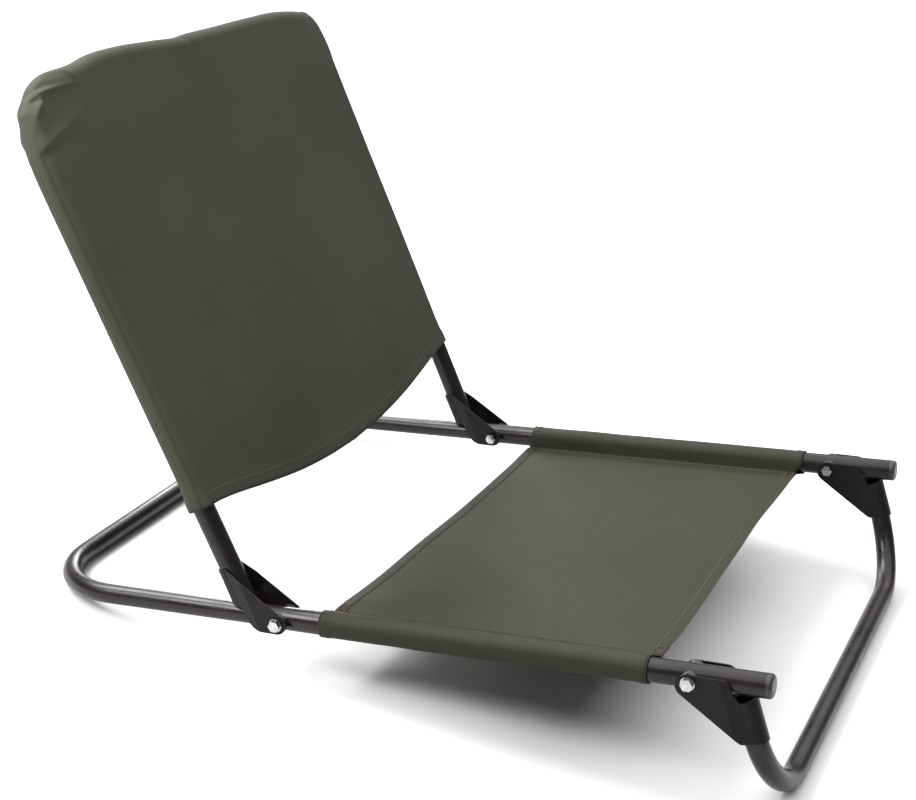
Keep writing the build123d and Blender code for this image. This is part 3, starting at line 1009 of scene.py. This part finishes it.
def zinc(name):
    n = Nodes(name)
    place = n.add("ShaderNodeTexCoord").outputs["Object"]
    cloud = n.noise(place, 300.0, 3.0, 0.6)
    n.link(n.ramp(cloud, [(0.3, (0.36, 0.36, 0.36)), (0.7, (0.55, 0.55, 0.56))]),
           n.shader.inputs["Base Color"])
    n.link(n.ramp(n.noise(place, 700.0), [(0.3, n.grey(0.14)), (0.7, n.grey(0.28))]),
           n.shader.inputs["Roughness"])
    n.link(n.bumped(n.noise(place, 900.0), 0.06, 0.0003), n.shader.inputs["Normal"])
    set_shader(n.shader, Metallic=1.0)
    return n.material


def plastic(name):
    n = Nodes(name)
    place = n.add("ShaderNodeTexCoord").outputs["Object"]
    n.link(n.ramp(n.noise(place, 60.0), [(0.3, (0.010, 0.010, 0.010)), (0.7, (0.020, 0.019, 0.019))]),
           n.shader.inputs["Base Color"])
    n.link(n.ramp(n.noise(place, 90.0), [(0.3, n.grey(0.34)), (0.7, n.grey(0.5))]),
           n.shader.inputs["Roughness"])
    n.link(n.bumped(n.noise(place, 1200.0), 0.12, 0.0002), n.shader.inputs["Normal"])
    return n.material


def paint_cad(finishes):
    for name, piece in frame["nodes"].items():
        for part, material in finishes:
            if part in name:
                piece.data.materials.clear()
                piece.data.materials.append(material)
                break


def put_on(piece, material):
    piece.data.materials.clear()
    piece.data.materials.append(material)


# ---- studio -----------------------------------------------------------------------
FLOOR_SIZE = 16.0


def build_floor():
    half = FLOOR_SIZE / 2
    points = [(-half, -half, 0), (half, -half, 0), (half, half, 0), (-half, half, 0)]
    floor = make_mesh("floor", points, [(0, 1, 2, 3)])
    n = Nodes("pale_floor")
    place = n.add("ShaderNodeTexCoord").outputs["Object"]
    n.link(n.ramp(n.noise(place, 3.0), [(0.3, n.grey(0.60)), (0.7, n.grey(0.63))]),
           n.shader.inputs["Base Color"])
    set_shader(n.shader, Roughness=0.9)
    put_on(floor, n.material)


def softbox(name, place, target, size, power):
    light = bpy.data.lights.new(name, "AREA")
    light.shape = "RECTANGLE"
    light.size, light.size_y = size
    light.energy = power
    holder = bpy.data.objects.new(name, light)
    bpy.context.collection.objects.link(holder)
    holder.location = place
    aim = Vector(target) - Vector(place)
    holder.rotation_euler = aim.to_track_quat("-Z", "Y").to_euler()
    holder.visible_camera = False


# Name, place, target, width and height in metres, and power in watts.
SOFTBOXES = [
    ("light_top", (2.0, 1.7, 5.0), (2.0, 1.7, 0), (14.0, 12.0), 1220),
    ("light_back", (0.2, 1.7, 2.1), (-0.1, 0.2, 0.3), (1.2, 1.2), 75),
    ("light_near", (-0.85, 0.75, 0.9), (-0.28, 0.25, 0.3), (0.5, 0.5), 13),
    ("light_far", (3.3, 2.2, 1.0), (0, 0, 0.15), (1.0, 1.0), 10),
    ("light_gap", (0.75, 0.66, 0.36), (-0.2, 0.02, 0.1), (0.3, 0.3), 5),
]
FILL = 0.24                     # soft light from all round
PAPER = 0.93                    # brightness of the backdrop beyond the floor


def build_light():
    for box in SOFTBOXES:
        softbox(*box)
    build_surround()


def build_surround():
    """Soft fill from all round, and a pale backdrop beyond the floor."""
    world = bpy.data.worlds.new("studio")
    world.use_nodes = True
    nodes, links = world.node_tree.nodes, world.node_tree.links
    fill = nodes["Background"]
    fill.inputs["Color"].default_value = (1, 1, 1, 1)
    fill.inputs["Strength"].default_value = FILL
    paper = nodes.new("ShaderNodeBackground")
    paper.inputs["Color"].default_value = (1, 1, 1, 1)
    paper.inputs["Strength"].default_value = PAPER
    seen = nodes.new("ShaderNodeLightPath")
    either = nodes.new("ShaderNodeMixShader")
    links.new(seen.outputs["Is Camera Ray"], either.inputs[0])
    links.new(fill.outputs[0], either.inputs[1])
    links.new(paper.outputs[0], either.inputs[2])
    links.new(either.outputs[0], nodes["World Output"].inputs["Surface"])
    bpy.context.scene.world = world


# In chair coordinates: where the camera stands, where it looks and which way its top points.
CAMERA_EYE = (1.686, 0.815, 0.741)
CAMERA_LOOK = (-0.8687, -0.3839, -0.3130)
CAMERA_TOP = (-0.3063, -0.0804, 0.9485)
CAMERA_LENS = 75.1


def build_camera():
    data = bpy.data.cameras.new("camera")
    data.sensor_width = 36
    data.lens = CAMERA_LENS
    camera = bpy.data.objects.new("camera", data)
    bpy.context.collection.objects.link(camera)
    home = chair(np.array(0.0), np.array(0.0), np.array(0.0))
    eye, look, top = (chair(*np.array(v)) for v in (CAMERA_EYE, CAMERA_LOOK, CAMERA_TOP))
    look, top = Vector(look - home).normalized(), Vector(top - home).normalized()
    turn = Matrix((look.cross(top), top, -look)).transposed().to_4x4()
    camera.matrix_world = Matrix.Translation(Vector(eye)) @ turn
    bpy.context.scene.camera = camera


# ---- the scene ----------------------------------------------------------------------
build_camera()
build_light()
build_floor()

tube_paint = coating("tube_enamel", (0.006, 0.0046, 0.0042), (0.014, 0.0108, 0.0096),
                     rough=(0.22, 0.36), worn=0.83, gloss=0.30)
# The brackets' enamel is the tubes' made a little darker in colour: painted shade, standing in for
# the darker look of the brackets' faces under the studio light.
bracket_paint = coating("bracket_enamel_painted_shade", (0.0042, 0.0034, 0.0032), (0.009, 0.0074, 0.0068),
                        rough=(0.30, 0.45), worn=0.79, gloss=0.16)
bright_zinc = zinc("bright_zinc")
black_plastic = plastic("black_plastic")
# Back and seat are the same olive canvas. The back's copy is made about twice as light as the seat's:
# painted light on the back and painted shade on the seat, in place of the difference in how the two
# are lit.
back_canvas_painted_light = fabric("olive_canvas_back_painted_light", (0.040, 0.0415, 0.0295), (0.051, 0.053, 0.039), 0.72)
seat_canvas_painted_shade = fabric("olive_canvas_seat_painted_shade", (0.0212, 0.0220, 0.0130), (0.0276, 0.0284, 0.0172), 0.55)
olive_thread = thread("olive_thread", (0.045, 0.045, 0.034), (0.085, 0.083, 0.066))
dark_thread = thread("dark_olive_thread", (0.020, 0.019, 0.013), (0.038, 0.036, 0.026))
brown_thread = thread("brown_thread", (0.040, 0.022, 0.012), (0.085, 0.048, 0.026))
# Very dark brown thread: real stitches, and along the seat's free edges also painted shade of the
# hems' undersides.
hem_shade_brown = thread("hem_shade_thread", (0.014, 0.009, 0.006), (0.030, 0.019, 0.012))

paint_cad([
    ("bolt", bright_zinc), ("nut", bright_zinc), ("spacer", black_plastic), ("plug", black_plastic),
    ("bracket", bracket_paint), ("rail", tube_paint), ("loop", tube_paint), ("tube", tube_paint),
])

cover = build_cover()
cover_stitching = build_cover_stitching()
put_on(cover, back_canvas_painted_light)
put_on(cover_stitching, olive_thread)
for piece in (cover, cover_stitching):
    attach(piece, "backrest")
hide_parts("backrest_cover")

sling, sling_width = build_sling()
rear_hem, front_hem = (build_hem("seat_hem_" + which, which, inward) for which, inward in FREE_EDGES)
sling_stitching = build_sling_stitching()
bar_tacks = build_bar_tacks()
hem_shade_thread = build_hem_shade_thread()
for piece in (sling, rear_hem, front_hem):
    put_on(piece, seat_canvas_painted_shade)
put_on(sling_stitching, dark_thread)
put_on(bar_tacks, brown_thread)
put_on(hem_shade_thread, hem_shade_brown)
for piece in (sling, rear_hem, front_hem, sling_stitching, bar_tacks, hem_shade_thread):
    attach(piece, "seat_frame")
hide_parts("seat_panel", "seat_sleeve_left", "seat_sleeve_right")

bpy.context.scene.view_settings.view_transform = "Standard"
